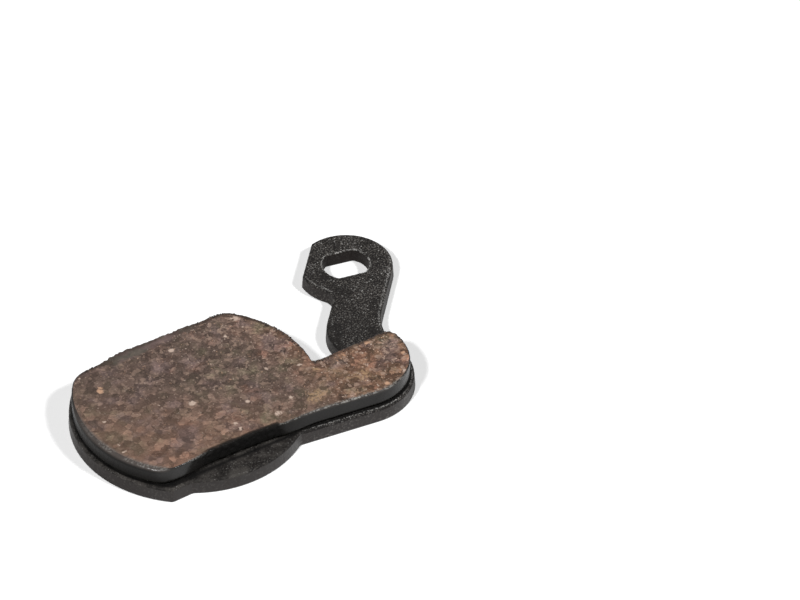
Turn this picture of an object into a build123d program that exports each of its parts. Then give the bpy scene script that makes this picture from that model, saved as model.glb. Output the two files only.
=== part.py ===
from build123d import *
import os
from math import cos, radians, sin, sqrt

# Bicycle disc brake pad: a stamped steel backing plate with a friction block moulded onto it.
# Millimetres. The origin is the piston seat's centre on the plate's back face. +Z points to the friction
# face, +X along the block's straight edge towards the lobe, and +Y to the side of the retaining eye.

# Thicknesses and edges
plate_thickness = 1.8
friction_thickness = 2.2
rolled_edge = 0.3
sheared_edge = 0.1
slot_edge = 0.12
friction_edge = 0.15
bond_groove = 0.15

# Friction block in plan: round ends, two long edges and an offset lobe
friction_upper = 9.8
friction_bend = 9.2
friction_lower_slope = 2.4
friction_tip_fillet = 3.0
friction_notch_fillet = 0.4
friction_lobe_fillet = 1.2
friction_bend_fillet = 15.0

# Plate margins around the block
end_inset = 0.5
upper_margin = 0.4
lower_margin = 0.55
lobe_inset = 0.6

# Plate in plan: piston seat, round ends, lobe, cranked arm and eye
seat_diameter = 25.5
end_step = 1.65
tip_fillet = 0.7
shoulder_fillet = 0.8
lobe_reach = 24.75
lobe_edge_distance = 9.36
lobe_edge_slope = 9.6
lobe_end_radius = 7.0
bay_depth = 2.85
bay_fillet = 0.7
notch_fillet = 0.5
arm_root_width = 6.2
arm_width = 6.1
arm_crank = -0.14
arm_direction = 46.5
arm_length = 10.67
arm_outer_bend = 7.3
arm_inner_bend = 6.0
eye_radius = 5.65
eye_flat_depth = 0.93
eye_corner_fillet = 0.4
neck_fillet = 1.5

# Retaining slot: a round hole with two flats
slot_diameter = 5.5
slot_flat_depth = 0.55
slot_turn = -13.7
slot_fillet = 0.3

# Compound keys that fill the plate's holes
key_radius = 2.45
key_angle = 30.5
end_key_margin = 1.35
middle_key_margin = 1.05
key_recess = 0.15


def heading(degrees):
    """The unit vector in plan that is turned this far from +X."""
    return Vector(cos(radians(degrees)), sin(radians(degrees)))


def at_x(point, direction, x):
    """The point at x on the line through point along direction."""
    return point + direction * ((x - point.X) / direction.X)


def on_circle(corners, radius, tolerance=1e-4):
    """The corners that lie on the circle of this radius about the origin."""
    return corners.filter_by(lambda corner: abs(Vector(corner).length - radius) < tolerance)


# Piston seat and round ends
seat_radius = seat_diameter / 2
end_radius = seat_radius + end_step
friction_end_radius = end_radius - end_inset

# Edges of the lobe and of the block, whose long lower edge bends once into the edge of the lobe
along_edge = heading(-lobe_edge_slope)
out_of_edge = heading(-lobe_edge_slope - 90)
plate_edge_point = out_of_edge * lobe_edge_distance
block_edge_point = out_of_edge * (lobe_edge_distance - lobe_inset)
block_bend = at_x(block_edge_point, along_edge, friction_bend)
along_lower = heading(-friction_lower_slope)
plate_upper = friction_upper + upper_margin
plate_lower = at_x(block_bend, along_lower, 0).Y - lower_margin

# Cranked arm, whose outer edge runs straight into the eye
along_arm = heading(arm_direction)
across_arm = heading(arm_direction + 90)
outer_crank = Vector(lobe_reach, arm_crank)
outer_end = outer_crank + along_arm * arm_length
inner_end = outer_end + across_arm * arm_width
arm_root = lobe_reach - arm_root_width
eye_centre = outer_end + across_arm * eye_radius
eye_flat = eye_radius - eye_flat_depth

# Compound keys: four near the round ends and two near the long edges
end_key_ring = friction_end_radius - end_key_margin - key_radius
middle_key_ring = friction_upper - middle_key_margin - key_radius
end_key_angles = (key_angle, 180 - key_angle, 180 + key_angle, -key_angle)
key_centres = [heading(angle) * end_key_ring for angle in end_key_angles]
key_centres += [heading(angle) * middle_key_ring for angle in (90, -90)]

# Backing plate outline
with BuildSketch() as plate_outline:
    Circle(end_radius)
    with Locations((0, (plate_upper + plate_lower) / 2)):
        Rectangle(2 * end_radius, plate_upper - plate_lower, mode=Mode.INTERSECT)
    Circle(seat_radius)

    # Lobe and arm
    with BuildLine():
        outer_edge = FilletPolyline(
            at_x(plate_edge_point, along_edge, 0),
            at_x(plate_edge_point, along_edge, lobe_reach),
            outer_crank,
            outer_end,
            radius=[lobe_end_radius, arm_outer_bend],
        )
        inner_edge = FilletPolyline(
            inner_end,
            at_x(inner_end, along_arm, arm_root),
            (arm_root, -bay_depth),
            (0, -bay_depth),
            radius=[arm_inner_bend, bay_fillet],
        )
        Line(outer_edge @ 1, inner_edge @ 0)
        Line(inner_edge @ 1, outer_edge @ 0)
    make_face()

    # Eye, with a flat on the side away from the arm's outer edge
    with Locations(eye_centre):
        Circle(eye_radius)
    with Locations(eye_centre + across_arm * eye_flat):
        Rectangle(
            2 * eye_radius,
            eye_radius,
            rotation=arm_direction,
            align=(Align.CENTER, Align.MIN),
            mode=Mode.SUBTRACT,
        )

    # Rounded corners of the eye's flat, the neck, the notch, the tips and the seat's shoulders
    flat_half = sqrt(eye_radius**2 - eye_flat**2)
    for side in (-flat_half, flat_half):
        flat_end = eye_centre + across_arm * eye_flat + along_arm * side
        fillet(plate_outline.vertices().sort_by_distance(flat_end)[0], eye_corner_fillet)
    neck = inner_end - along_arm * sqrt(eye_radius**2 - (arm_width - eye_radius) ** 2)
    fillet(plate_outline.vertices().sort_by_distance(neck)[0], neck_fillet)
    fillet(on_circle(plate_outline.vertices(), end_radius).sort_by(Axis.X)[-1], notch_fillet)
    fillet(on_circle(plate_outline.vertices(), end_radius).sort_by(Axis.X)[:3], tip_fillet)
    fillet(on_circle(plate_outline.vertices(), seat_radius), shoulder_fillet)

# Retaining slot outline
with BuildSketch() as slot_outline:
    with Locations(eye_centre):
        Circle(slot_diameter / 2)
        Rectangle(
            slot_diameter,
            slot_diameter - 2 * slot_flat_depth,
            rotation=slot_turn,
            mode=Mode.INTERSECT,
        )
    fillet(slot_outline.vertices(), slot_fillet)

# Backing plate, stamped from the friction side, so that edge is rolled and the back edge sharper
with BuildPart() as backing_plate:
    with BuildSketch():
        add(plate_outline.sketch)
    extrude(amount=plate_thickness)
    fillet(backing_plate.faces().sort_by(Axis.Z)[-1].edges(), rolled_edge)
    chamfer(backing_plate.faces().sort_by(Axis.Z)[0].edges(), sheared_edge)
    with BuildSketch():
        add(slot_outline.sketch)
    extrude(amount=plate_thickness, mode=Mode.SUBTRACT)
    slot_rims = [
        face.inner_wires()[0].edges()
        for face in (backing_plate.faces() | Plane.XY).sort_by(Axis.Z)
    ]
    chamfer(slot_rims, slot_edge)
    with Locations(*key_centres):
        Hole(key_radius)

# Friction block outline
lobe_right = lobe_reach - lobe_inset
lobe_top = -bay_depth - lobe_inset
lobe_heel = at_x(block_edge_point, along_edge, lobe_right)

with BuildSketch(Plane.XY.offset(plate_thickness)) as friction_outline:
    Circle(friction_end_radius)
    with Locations((0, lobe_top)):
        Rectangle(lobe_right, end_radius, align=(Align.MIN, Align.MAX))
    with BuildLine():
        Polyline(
            (-end_radius, friction_upper),
            (lobe_right, friction_upper),
            lobe_heel,
            block_bend,
            at_x(block_bend, along_lower, -end_radius),
            close=True,
        )
    make_face(mode=Mode.INTERSECT)
    corner_fillets = [
        ((lobe_right, lobe_top), friction_lobe_fillet),
        (lobe_heel, lobe_end_radius - lobe_inset),
        (block_bend, friction_bend_fillet),
    ]
    for corner, radius in corner_fillets:
        fillet(friction_outline.vertices().sort_by_distance(corner)[0], radius)
    ends = on_circle(friction_outline.vertices(), friction_end_radius).sort_by(Axis.X)
    fillet(ends[-1], friction_notch_fillet)
    ends = on_circle(friction_outline.vertices(), friction_end_radius).sort_by(Axis.X)
    fillet(ends[:3], friction_tip_fillet)

# Friction block, with the compound that was pressed through the plate's holes
with BuildPart() as friction_pad:
    with BuildSketch(Plane.XY.offset(plate_thickness)):
        add(friction_outline.sketch)
    extrude(amount=friction_thickness)
    chamfer(friction_pad.faces().sort_by(Axis.Z)[-1].edges(), friction_edge)
    chamfer(friction_pad.faces().sort_by(Axis.Z)[0].edges(), bond_groove)
    with BuildSketch(Plane.XY.offset(key_recess)):
        with Locations(*key_centres):
            Circle(key_radius)
    extrude(amount=plate_thickness - key_recess)

# One file for each piece
os.makedirs("parts", exist_ok=True)
backing_plate.part.label = "backing_plate"
friction_pad.part.label = "friction_pad"
export_step(backing_plate.part, "parts/backing_plate.step")
export_step(friction_pad.part, "parts/friction_pad.step")
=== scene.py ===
import math
from types import SimpleNamespace

import bmesh
import bpy
import numpy as np
from bpy.props import FloatProperty, FloatVectorProperty, IntProperty, PointerProperty
from mathutils import Matrix, Vector, geometry, kdtree


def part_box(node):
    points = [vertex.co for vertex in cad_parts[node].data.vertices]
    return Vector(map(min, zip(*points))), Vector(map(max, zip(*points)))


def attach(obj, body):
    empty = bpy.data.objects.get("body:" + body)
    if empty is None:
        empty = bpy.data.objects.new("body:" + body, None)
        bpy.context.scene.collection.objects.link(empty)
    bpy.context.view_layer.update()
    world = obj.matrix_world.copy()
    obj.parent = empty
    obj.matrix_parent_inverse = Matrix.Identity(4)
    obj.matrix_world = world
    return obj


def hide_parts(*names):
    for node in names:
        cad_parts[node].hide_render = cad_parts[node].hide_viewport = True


bl_info = {
    "name": "Disc Brake Pad",
    "version": (1, 0, 0),
    "blender": (4, 5, 0),
    "location": "View3D > Sidebar > Brake Pad",
    "description": "Dresses a disc brake pad: coated plate, friction block, crumbs and studio stage",
    "category": "Object",
}

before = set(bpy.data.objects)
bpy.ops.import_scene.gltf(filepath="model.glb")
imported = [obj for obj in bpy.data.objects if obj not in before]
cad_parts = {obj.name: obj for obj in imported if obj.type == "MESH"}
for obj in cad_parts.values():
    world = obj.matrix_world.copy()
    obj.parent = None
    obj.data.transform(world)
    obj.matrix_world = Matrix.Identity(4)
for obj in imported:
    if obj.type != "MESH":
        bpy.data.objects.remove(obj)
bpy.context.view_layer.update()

MM = 0.001
PLATE_NODE = "backing_plate"
BLOCK_NODE = "friction_pad"
BODY = "root"

# Finishes of the plate and of the block, as numbers on their faces
COAT, SIDE, PAINT = range(3)
GROUND, WALL, KEY = range(3)

# Numbers of the sockets that share their names with others of their node
MIX_FACTOR, MIX_FIRST, MIX_SECOND, MIX_RESULT = 0, 6, 7, 2
COMPARE_FIRST, COMPARE_SECOND = 2, 3

# Least distance of a face's inner points from its outlines, in facets
CLEARANCE = 0.7

# The largest flecks of the ground face and its ochre patches: place in plan and radius, in millimetres
COPPER_FLECKS = [(-8.9, 5.9, 0.65), (20.7, -4.0, 0.55), (23.0, -7.7, 0.3), (18.4, -11.1, 0.3)]
STONE_FLECKS = [
    (10.4, 8.1, 0.55), (-1.5, -1.7, 0.42), (8.6, -1.2, 0.32), (5.5, -8.5, 0.45), (21.3, -10.4, 0.3),
    (-11.2, 1.2, 0.25), (-4.7, 0.1, 0.2), (-11.9, -3.0, 0.25), (-12.0, -4.3, 0.3), (0.7, -8.3, 0.3),
    (7.8, 6.0, 0.3), (1.4, 7.4, 0.35), (3.8, -4.9, 0.3), (12.0, -2.9, 0.32), (8.2, -7.0, 0.28),
    (-9.8, 9.0, 0.2), (0.6, -7.3, 0.32),
]
OCHRE_PATCHES = [(10.6, -8.4, 1.3), (16.8, -8.3, 1.2), (13.2, -4.5, 0.5)]


def screen(red, green, blue):
    """A colour from its 0 to 255 screen values, as the linear values that shaders take."""
    shares = [value / 255 for value in (red, green, blue)]
    return tuple(s / 12.92 if s <= 0.04045 else ((s + 0.055) / 1.055) ** 2.4 for s in shares)


def length(name, default, description):
    """A length property, in metres."""
    return FloatProperty(name=name, description=description, default=default, min=0, unit="LENGTH")


def coordinate(name, default, description):
    """A place along an axis, in metres."""
    return FloatProperty(name=name, description=description, default=default, unit="LENGTH")


def angle(name, degrees, description):
    """An angle property, with its default in degrees."""
    default = math.radians(degrees)
    return FloatProperty(name=name, description=description, default=default, subtype="ANGLE")


def share(name, default, description):
    """A plain number property."""
    return FloatProperty(name=name, description=description, default=default, min=0)


def colour(name, default, description):
    """A colour property, with its default in screen values."""
    default = screen(*default)
    return FloatVectorProperty(name=name, description=description, default=default, subtype="COLOR")


def position(name, default, description):
    """A place in space, in metres."""
    return FloatVectorProperty(name=name, description=description, default=default, subtype="TRANSLATION")


class PlateSettings(bpy.types.PropertyGroup):
    """Sizes and colours of the stamped, coated plate."""

    facet: length("Facet", 0.11 * MM, "Spacing of the mesh's points")
    rows: IntProperty(name="Rows", description="Rows of points up the sides", default=10, min=2)
    draft: length("Draft", 0.1 * MM, "How far the sheared sides lean in towards the friction side")
    rolled_edge: length("Rolled Edge", 0.28 * MM, "Radius of the edge on the friction side")
    back_edge: length("Back Edge", 0.1 * MM, "Bevel of the edge on the back")
    slot_edge: length("Slot Edge", 0.12 * MM, "Bevel of the slot's rims")
    # Painted shade: how wide the dark line painted along the block's foot is
    foot_shade: length("Foot Shade", 0.28 * MM, "Width of the dark line along the block's foot")
    tucked: length("Tucked", 0.5 * MM, "How far the coat's grains reach in under the block")
    dull_heading: angle("Dull Heading", 185, "Side on which the sheared side is dull")
    dull_spread: angle("Dull Spread", 40, "How far round that dull side reaches")
    # Painted highlight: a pale line of pale grains and painted highlight along the edges that face the
    # lamps; these headings and the spread say where it lies
    bright_heading: angle("Bright Heading", 262, "Side of the lobe with its edge rubbed bright")
    eye_heading: angle("Eye Heading", 215, "Side of the eye with its edge rubbed bright")
    bright_spread: angle("Bright Spread", 60, "How far round those bright edges reach")
    # The arm's outer side: painted highlight along its edge, painted shade on its side
    outer_heading: angle("Outer Heading", -43, "Outer side of the arm: a bright edge over a dull side")
    outer_spread: angle("Outer Spread", 45, "How far round that outer side reaches")
    coat_grain: length("Coat Grain", 0.18 * MM, "Width of a grain of the coat")
    coat_relief: length("Coat Relief", 0.035 * MM, "Height of the coat's grains")
    coat: colour("Coat", (26, 24, 23), "Granular coat of the friction side")
    grit: colour("Grit", (94, 90, 86), "Dull grains in the coat")
    # Painted glints of the glossy coat, partly bright grains; the pale line along the edges takes this
    # colour too
    sparkle: colour("Sparkle", (182, 180, 177), "Bright grains in the coat")
    # Painted shade on the coat beside the block's foot, where the block shades the plate
    foot: colour("Foot", (12, 12, 12), "Dark line along the block's foot")
    side: colour("Side", (37, 32, 30), "Sheared sides")
    side_cloud: colour("Side Cloud", (22, 19, 18), "Darker clouds on the sheared sides")
    paint: colour("Paint", (15, 15, 16), "Smooth paint of the back")
    # Dark colour of the slot's wall; on the arm's outer side it is painted shade
    bore: colour("Bore", (24, 19, 17), "Wall of the slot")
    dust: colour("Dust", (128, 124, 120), "Dust on the back")


class BlockSettings(bpy.types.PropertyGroup):
    """Sizes and colours of the moulded friction block."""

    facet: length("Facet", 0.105 * MM, "Spacing of the mesh's points")
    arris: length("Arris", 0.14 * MM, "Rounding of the ground face's edge")
    worn_arris: length("Worn Arris", 0.45 * MM, "More rounding of that edge at the round end")
    foot_groove: length("Foot Groove", 0.42 * MM, "Groove between the block's foot and the plate")
    grain: length("Grain", 1.0 * MM, "Width of a coarse grain")
    relief: length("Relief", 0.04 * MM, "Height of the grains on the ground face")
    burr_reach: length("Burr Reach", 0.4 * MM, "How far grinding dragged the far edge out")
    burr_width: length("Burr Width", 0.9 * MM, "Width of the smeared band along the far edge")
    burr_middle: coordinate("Burr Middle", -2.7 * MM, "Where along the far edge the burr is longest")
    burr_stretch: length("Burr Stretch", 4.0 * MM, "Half length of the burr's longest stretch")
    chip: length("Chip", 0.22 * MM, "Size of the notches in the edges")
    bite: length("Bite", 0.42 * MM, "Depth of the strip that broke off the near edge")
    bite_start: coordinate("Bite Start", -8.0 * MM, "Where along the near edge that strip starts")
    bite_end: coordinate("Bite End", 4.9 * MM, "Where along the near edge that strip ends")
    key_gap: length("Key Gap", 0.16 * MM, "Depth of the gap round each key's end")
    burr_heading: angle("Burr Heading", 90, "Direction in which grinding dragged the compound")
    burr_spread: angle("Burr Spread", 45, "How far round the burr reaches")
    loose_heading: angle("Loose Heading", 50, "Side on which the edges crumble")
    loose_spread: angle("Loose Spread", 80, "How far round the crumbling edges reach")
    worn_heading: angle("Worn Heading", 236, "Side on which the edges are scuffed")
    worn_spread: angle("Worn Spread", 85, "How far round the scuffed edges reach")
    dull_heading: angle("Dull Heading", 205, "Side on which the face's edge is round")
    dull_spread: angle("Dull Spread", 62, "How far round that round edge reaches")
    matt_heading: angle("Matt Heading", 187, "Side on which the walls shine least")
    matt_spread: angle("Matt Spread", 55, "How far round those matt walls reach")
    far: colour("Far", (97, 81, 73), "Compound on the far side of the face")
    near: colour("Near", (122, 97, 83), "Compound along the near edge")
    warm: colour("Warm", (114, 86, 66), "Compound on the lobe")
    red: colour("Red", (132, 95, 80), "Reddish patches")
    olive: colour("Olive", (104, 96, 78), "Olive patches")
    mauve: colour("Mauve", (112, 95, 92), "Mauve patches")
    pale: colour("Pale", (168, 142, 126), "Pale grains")
    dark: colour("Dark", (58, 47, 41), "Binder between the grains")
    pit: colour("Pit", (36, 29, 25), "Pits")
    wall: colour("Wall", (15, 13, 11), "Moulded sides")
    wall_cloud: colour("Wall Cloud", (8, 8, 8), "Darker clouds on the moulded sides")
    # Painted shade in the recess where the strip broke off the near edge
    bite_shade: colour("Broken", (5, 5, 5), "Where the strip broke off the near edge")
    key: colour("Key", (30, 29, 29), "Compound in the plate's holes")
    key_grain: colour("Key Grain", (82, 78, 75), "Paler grains of that compound")
    key_pit: colour("Key Pit", (14, 13, 13), "Pits of that compound")
    rounded: colour("Rounded", (96, 88, 84), "Rounded edge on the near side")
    scuff: colour("Scuff", (150, 147, 142), "Scuffed edge on the near side")
    burr: colour("Burr", (88, 83, 76), "Smeared edge on the far side")
    copper: colour("Copper", (200, 160, 132), "Copper flecks")
    stone: colour("Stone", (200, 178, 163), "Stone flecks")
    ochre: colour("Ochre", (176, 145, 112), "Ochre grains")


class CrumbSettings(bpy.types.PropertyGroup):
    """Crumbs on the loose edges."""

    crumb: length("Crumb", 0.11 * MM, "Radius of a typical crumb")
    density: share("Density", 24.0, "Crumbs on a square millimetre of a loose edge")
    seed: IntProperty(name="Seed", description="Seed of the scatter", default=7)
    tint: colour("Tint", (46, 42, 40), "Most crumbs")
    pale: colour("Pale", (104, 92, 84), "Paler crumbs")


class StageSettings(bpy.types.PropertyGroup):
    """Camera, lights and floor."""

    focal: length("Focal Length", 165.56 * MM, "Focal length on a 36 mm wide sensor")
    distance: length("Distance", 430.94 * MM, "From the camera to the aim point")
    pitch: angle("Pitch", 39.651, "How far the camera looks down")
    heading: angle("Heading", 55.156, "Direction of the view in plan, from +X")
    roll: angle("Roll", 0.403, "Turn of the camera about its view")
    aim: position("Aim", (30.69 * MM, 4.12 * MM, 0), "Point at the picture's centre")
    softbox: length("Softbox", 120 * MM, "Width of the softboxes")
    left_place: position("Left Place", (-0.38, -0.57, 0.73), "Left softbox, as seen: right, away and up")
    left_level: share("Left Level", 0.49, "Light from the left softbox on white paper")
    right_place: position("Right Place", (0.62, -0.28, 0.73), "Right softbox, in the same way")
    right_level: share("Right Level", 0.42, "Light from the right softbox on white paper")
    room_level: share("Room Level", 0.1, "Light from the room on white paper")
    paper: colour("Paper", (230, 230, 230), "Paper under the pad, as the pad sees it")
    seen_paper: colour("Seen Paper", (253, 253, 253), "Paper under the pad, as the camera sees it")
    lift: share("Lift", 0.24, "Light that the seen paper adds to reach white")


def area(loop):
    """Signed area of a closed outline, above zero where it runs counter-clockwise."""
    x, y = loop.T
    return (x * np.roll(y, -1) - y * np.roll(x, -1)).sum() / 2


def section(node, height, weld=1e-3 * MM):
    """The counter-clockwise outlines in which a level plane cuts a CAD node, largest first."""
    cut = bmesh.new()
    cut.from_mesh(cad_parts[node].data)
    bmesh.ops.remove_doubles(cut, verts=cut.verts, dist=weld)
    everything = [*cut.verts, *cut.edges, *cut.faces]
    found = bmesh.ops.bisect_plane(cut, geom=everything, plane_co=(0, 0, height), plane_no=(0, 0, 1))
    beside = {}
    for edge in found["geom_cut"]:
        if isinstance(edge, bmesh.types.BMEdge):
            start, end = edge.verts
            beside.setdefault(start, []).append(end)
            beside.setdefault(end, []).append(start)
    loops = []
    while beside:
        ahead = [next(iter(beside))]
        walk = []
        while ahead:
            walk.append(ahead[0])
            ahead = [corner for corner in beside.pop(ahead[0]) if corner in beside]
        loop = np.array([corner.co[:2] for corner in walk])
        loops.append(loop if area(loop) > 0 else loop[::-1])
    cut.free()
    return sorted(loops, key=area, reverse=True)


def spaced(loop, spacing):
    """The same closed outline with evenly spaced points."""
    closed = np.vstack([loop, loop[:1]])
    run = np.concatenate([[0], np.cumsum(np.linalg.norm(np.diff(closed, axis=0), axis=1))])
    at = np.linspace(0, run[-1], round(run[-1] / spacing), endpoint=False)
    return np.column_stack([np.interp(at, run, closed[:, axis]) for axis in (0, 1)])


def outward(loop):
    """Unit vectors out of the material, which lies to the left of the outline's points."""
    ahead = np.roll(loop, -1, axis=0) - np.roll(loop, 1, axis=0)
    sideways = np.column_stack([ahead[:, 1], -ahead[:, 0]])
    return sideways / np.linalg.norm(sideways, axis=1, keepdims=True)


def within(points, loop):
    """Which points lie inside a closed outline."""
    x, y = points.T
    inside = np.zeros(len(points), bool)
    for (ax, ay), (bx, by) in zip(loop, np.roll(loop, -1, axis=0)):
        if ay != by:
            spans = (ay > y) != (by > y)
            inside ^= spans & (x < ax + (y - ay) * (bx - ax) / (by - ay))
    return inside


def nearest(points, loop):
    """Each point's distance in plan to an outline, and the number of the nearest outline point."""
    tree = kdtree.KDTree(len(loop))
    for index, (x, y) in enumerate(loop):
        tree.insert((x, y, 0), index)
    tree.balance()
    found = [tree.find((x, y, 0)) for x, y in points]
    return np.array([hit[2] for hit in found]), np.array([hit[1] for hit in found], int)


def sprinkled(loop, spacing, seed, jitter=0.25):
    """Points inside an outline on a jittered triangular grid, clear of its edge."""
    low, high = loop.min(axis=0), loop.max(axis=0)
    columns = np.arange(low[0], high[0], spacing)
    rows = np.arange(low[1], high[1], spacing * math.sqrt(3) / 2)
    grid = np.stack(np.meshgrid(columns, rows), axis=-1)
    grid[1::2, :, 0] += spacing / 2
    grid = grid.reshape(-1, 2)
    grid += np.random.default_rng(seed).uniform(-jitter, jitter, grid.shape) * spacing
    grid = grid[within(grid, loop)]
    return grid[nearest(grid, loop)[0] > CLEARANCE * spacing]


def bell(distance, width):
    """1 at no distance, falling smoothly to 0 over about twice the width."""
    return np.exp(-((distance / width) ** 2))


def smooth(value, low, high):
    """0 at low, 1 at high and a smooth change between them."""
    part = np.clip((value - low) / (high - low), 0, 1)
    return part * part * (3 - 2 * part)


def facing(loop, heading, spread):
    """How far an outline faces a direction in plan: 1 towards it, and 0 from the spread about it on."""
    towards = outward(loop) @ (math.cos(heading), math.sin(heading))
    return smooth(towards, math.cos(spread), 1)


def quarter(radius, steps):
    """Height and inset along a rounded edge, from its foot up to the flat."""
    turns = [math.pi / 2 * step / steps for step in range(steps + 1)]
    return [(radius * math.sin(turn), radius * (1 - math.cos(turn))) for turn in turns]


class Shell:
    """A closed piece under construction: rings of points, skins between them and caps over them."""

    def __init__(self):
        self.points, self.sides, self.marks = [], [], []
        self.faces, self.finishes = [], []
        self.total = 0

    def add(self, plan, height, side=(0, 0), **marks):
        """Adds points at one height, with their marks, and gives their numbers."""
        count = len(plan)
        self.points.append(np.column_stack([plan, np.full(count, height)]))
        self.sides.append(np.column_stack([np.broadcast_to(side, (count, 2)), np.zeros(count)]))
        self.marks.append({name: np.broadcast_to(value, count) for name, value in marks.items()})
        self.total += count
        return np.arange(self.total - count, self.total)

    def plan(self, numbers):
        """Where these points are in plan."""
        return np.vstack(self.points)[numbers][:, :2]

    def skin(self, lower, upper, finish):
        """Joins two rings of equal count with a band of faces."""
        ahead = np.roll(np.arange(len(lower)), -1)
        band = np.column_stack([lower, lower[ahead], upper[ahead], upper]).tolist()
        self.faces += band
        self.finishes += [finish] * len(band)

    def tube(self, loop, profile, finish_at, marks_at=lambda height, inset: {}):
        """Stacks rings along a profile and gives the first and the last ring.

        The profile has a height and an inset for each ring, the inset as one number or one for each point.
        """
        side = outward(loop)
        rings = [
            self.add(loop - side * np.reshape(inset, (-1, 1)), height, side, **marks_at(height, inset))
            for height, inset in profile
        ]
        for number in range(len(rings) - 1):
            height = (profile[number][0] + profile[number + 1][0]) / 2
            self.skin(rings[number], rings[number + 1], finish_at(height))
        return rings[0], rings[-1]

    def cap(self, borders, inner, finish, up):
        """Fills the first border, less the others, with triangles through the inner points."""
        numbers = np.concatenate([*borders, inner]).astype(int)
        plan = self.plan(numbers)
        edges = []
        for border in borders:
            start = len(edges)
            edges += [(start + step, start + (step + 1) % len(border)) for step in range(len(border))]
        corners = [Vector(corner) for corner in plan / MM]
        only_inside, tolerance = 1, 1e-6
        _, _, found, owners, _, _ = geometry.delaunay_2d_cdt(corners, edges, [], only_inside, tolerance)
        faces = np.array([owner[0] for owner in owners])[np.array(found)]
        for border in borders[1:]:
            faces = faces[~within(plan[faces].mean(axis=1), self.plan(border))]
        first, second, third = (plan[faces[:, corner]] for corner in range(3))
        (ax, ay), (bx, by) = (second - first).T, (third - first).T
        wrong = (ax * by > ay * bx) != up
        faces[wrong] = faces[wrong][:, ::-1]
        self.faces += numbers[faces].tolist()
        self.finishes += [finish] * len(faces)

    def mesh(self, name):
        """The finished mesh, with its marks as attributes."""
        mesh = bpy.data.meshes.new(name)
        mesh.from_pydata(np.vstack(self.points).tolist(), [], self.faces)
        mesh.attributes.new("finish", "INT", "FACE").data.foreach_set("value", self.finishes)
        sides = np.vstack(self.sides).ravel()
        mesh.attributes.new("side", "FLOAT_VECTOR", "POINT").data.foreach_set("vector", sides)
        for mark in sorted({mark for marks in self.marks for mark in marks}):
            parts = [marks.get(mark, np.zeros(len(part))) for marks, part in zip(self.marks, self.points)]
            mesh.attributes.new(mark, "FLOAT", "POINT").data.foreach_set("value", np.concatenate(parts))
        mesh.shade_smooth()
        return mesh


class Wire:
    """A node's output. Arithmetic on it adds Math nodes."""

    def __init__(self, graph, socket):
        self.graph = graph
        self.socket = socket

    def out(self, name):
        """Another output of the same node."""
        return Wire(self.graph, self.socket.node.outputs[name])

    def __add__(self, other):
        return self.graph.math("ADD", self, other)

    def __radd__(self, other):
        return self.graph.math("ADD", other, self)

    def __sub__(self, other):
        return self.graph.math("SUBTRACT", self, other)

    def __rsub__(self, other):
        return self.graph.math("SUBTRACT", other, self)

    def __mul__(self, other):
        return self.graph.math("MULTIPLY", self, other)

    def __rmul__(self, other):
        return self.graph.math("MULTIPLY", other, self)

    def __truediv__(self, other):
        return self.graph.math("DIVIDE", self, other)

    def __rtruediv__(self, other):
        return self.graph.math("DIVIDE", other, self)

    def at_least(self, other):
        """The larger of the two values."""
        return self.graph.math("MAXIMUM", self, other)

    def between(self, low, high):
        """0 at low, 1 at high and a smooth change between them. Low may be the larger one."""
        inputs = {"Value": self, "From Min": low, "From Max": high}
        return self.graph.node("ShaderNodeMapRange", {"interpolation_type": "SMOOTHSTEP"}, inputs)


class Graph:
    """A node tree under construction, of a material or of Geometry Nodes."""

    def __init__(self, tree):
        self.tree = tree

    def node(self, kind, settings=None, inputs=None, output=0):
        """Adds a node, with its settings first and then its sockets' values or links."""
        node = self.tree.nodes.new(kind)
        for name, value in (settings or {}).items():
            setattr(node, name, value)
        for key, value in (inputs or {}).items():
            if isinstance(value, Wire):
                self.tree.links.new(value.socket, node.inputs[key])
            else:
                node.inputs[key].default_value = value
        return Wire(self, node.outputs[output]) if node.outputs else node

    def math(self, operation, *values):
        """A Math node on these values."""
        return self.node("ShaderNodeMath", {"operation": operation}, dict(enumerate(values)))

    def vector(self, operation, *values):
        """A Vector Math node on these vectors."""
        return self.node("ShaderNodeVectorMath", {"operation": operation}, dict(enumerate(values)))

    def scaled(self, vector, factor):
        """A vector times a number."""
        inputs = {"Vector": vector, "Scale": factor}
        return self.node("ShaderNodeVectorMath", {"operation": "SCALE"}, inputs)

    def mixed(self, factor, first, second):
        """A colour mixed from two."""
        first, second = (tint if isinstance(tint, Wire) else (*tint, 1) for tint in (first, second))
        inputs = {MIX_FACTOR: factor, MIX_FIRST: first, MIX_SECOND: second}
        return self.node("ShaderNodeMix", {"data_type": "RGBA"}, inputs, MIX_RESULT)

    def noise(self, place, scale, detail=2.0, rough=0.5, output=0):
        """A Noise Texture's value, or its colour."""
        inputs = {"Vector": place, "Scale": scale, "Detail": detail, "Roughness": rough}
        return self.node("ShaderNodeTexNoise", None, inputs, output)

    def sway(self, place, scale, detail):
        """A vector about zero that wanders from place to place."""
        wander = self.noise(place, scale, detail, output="Color")
        return self.vector("SUBTRACT", wander, (0.5, 0.5, 0.5))

    def cells(self, place, scale, feature="F1", output="Distance"):
        """A Voronoi Texture's distance, or its random colour."""
        inputs = {"Vector": place, "Scale": scale}
        return self.node("ShaderNodeTexVoronoi", {"feature": feature}, inputs, output)

    def soft_cells(self, place, scale, softness=0.12):
        """Three random values for each Voronoi cell, with soft borders."""
        inputs = {"Vector": place, "Scale": scale, "Smoothness": softness}
        return self.parts(self.node("ShaderNodeTexVoronoi", {"feature": "SMOOTH_F1"}, inputs, "Color"))

    def parts(self, vector):
        """The three parts of a vector or of a random colour."""
        split = self.node("ShaderNodeSeparateXYZ", None, {"Vector": vector})
        return split, split.out("Y"), split.out("Z")


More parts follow.
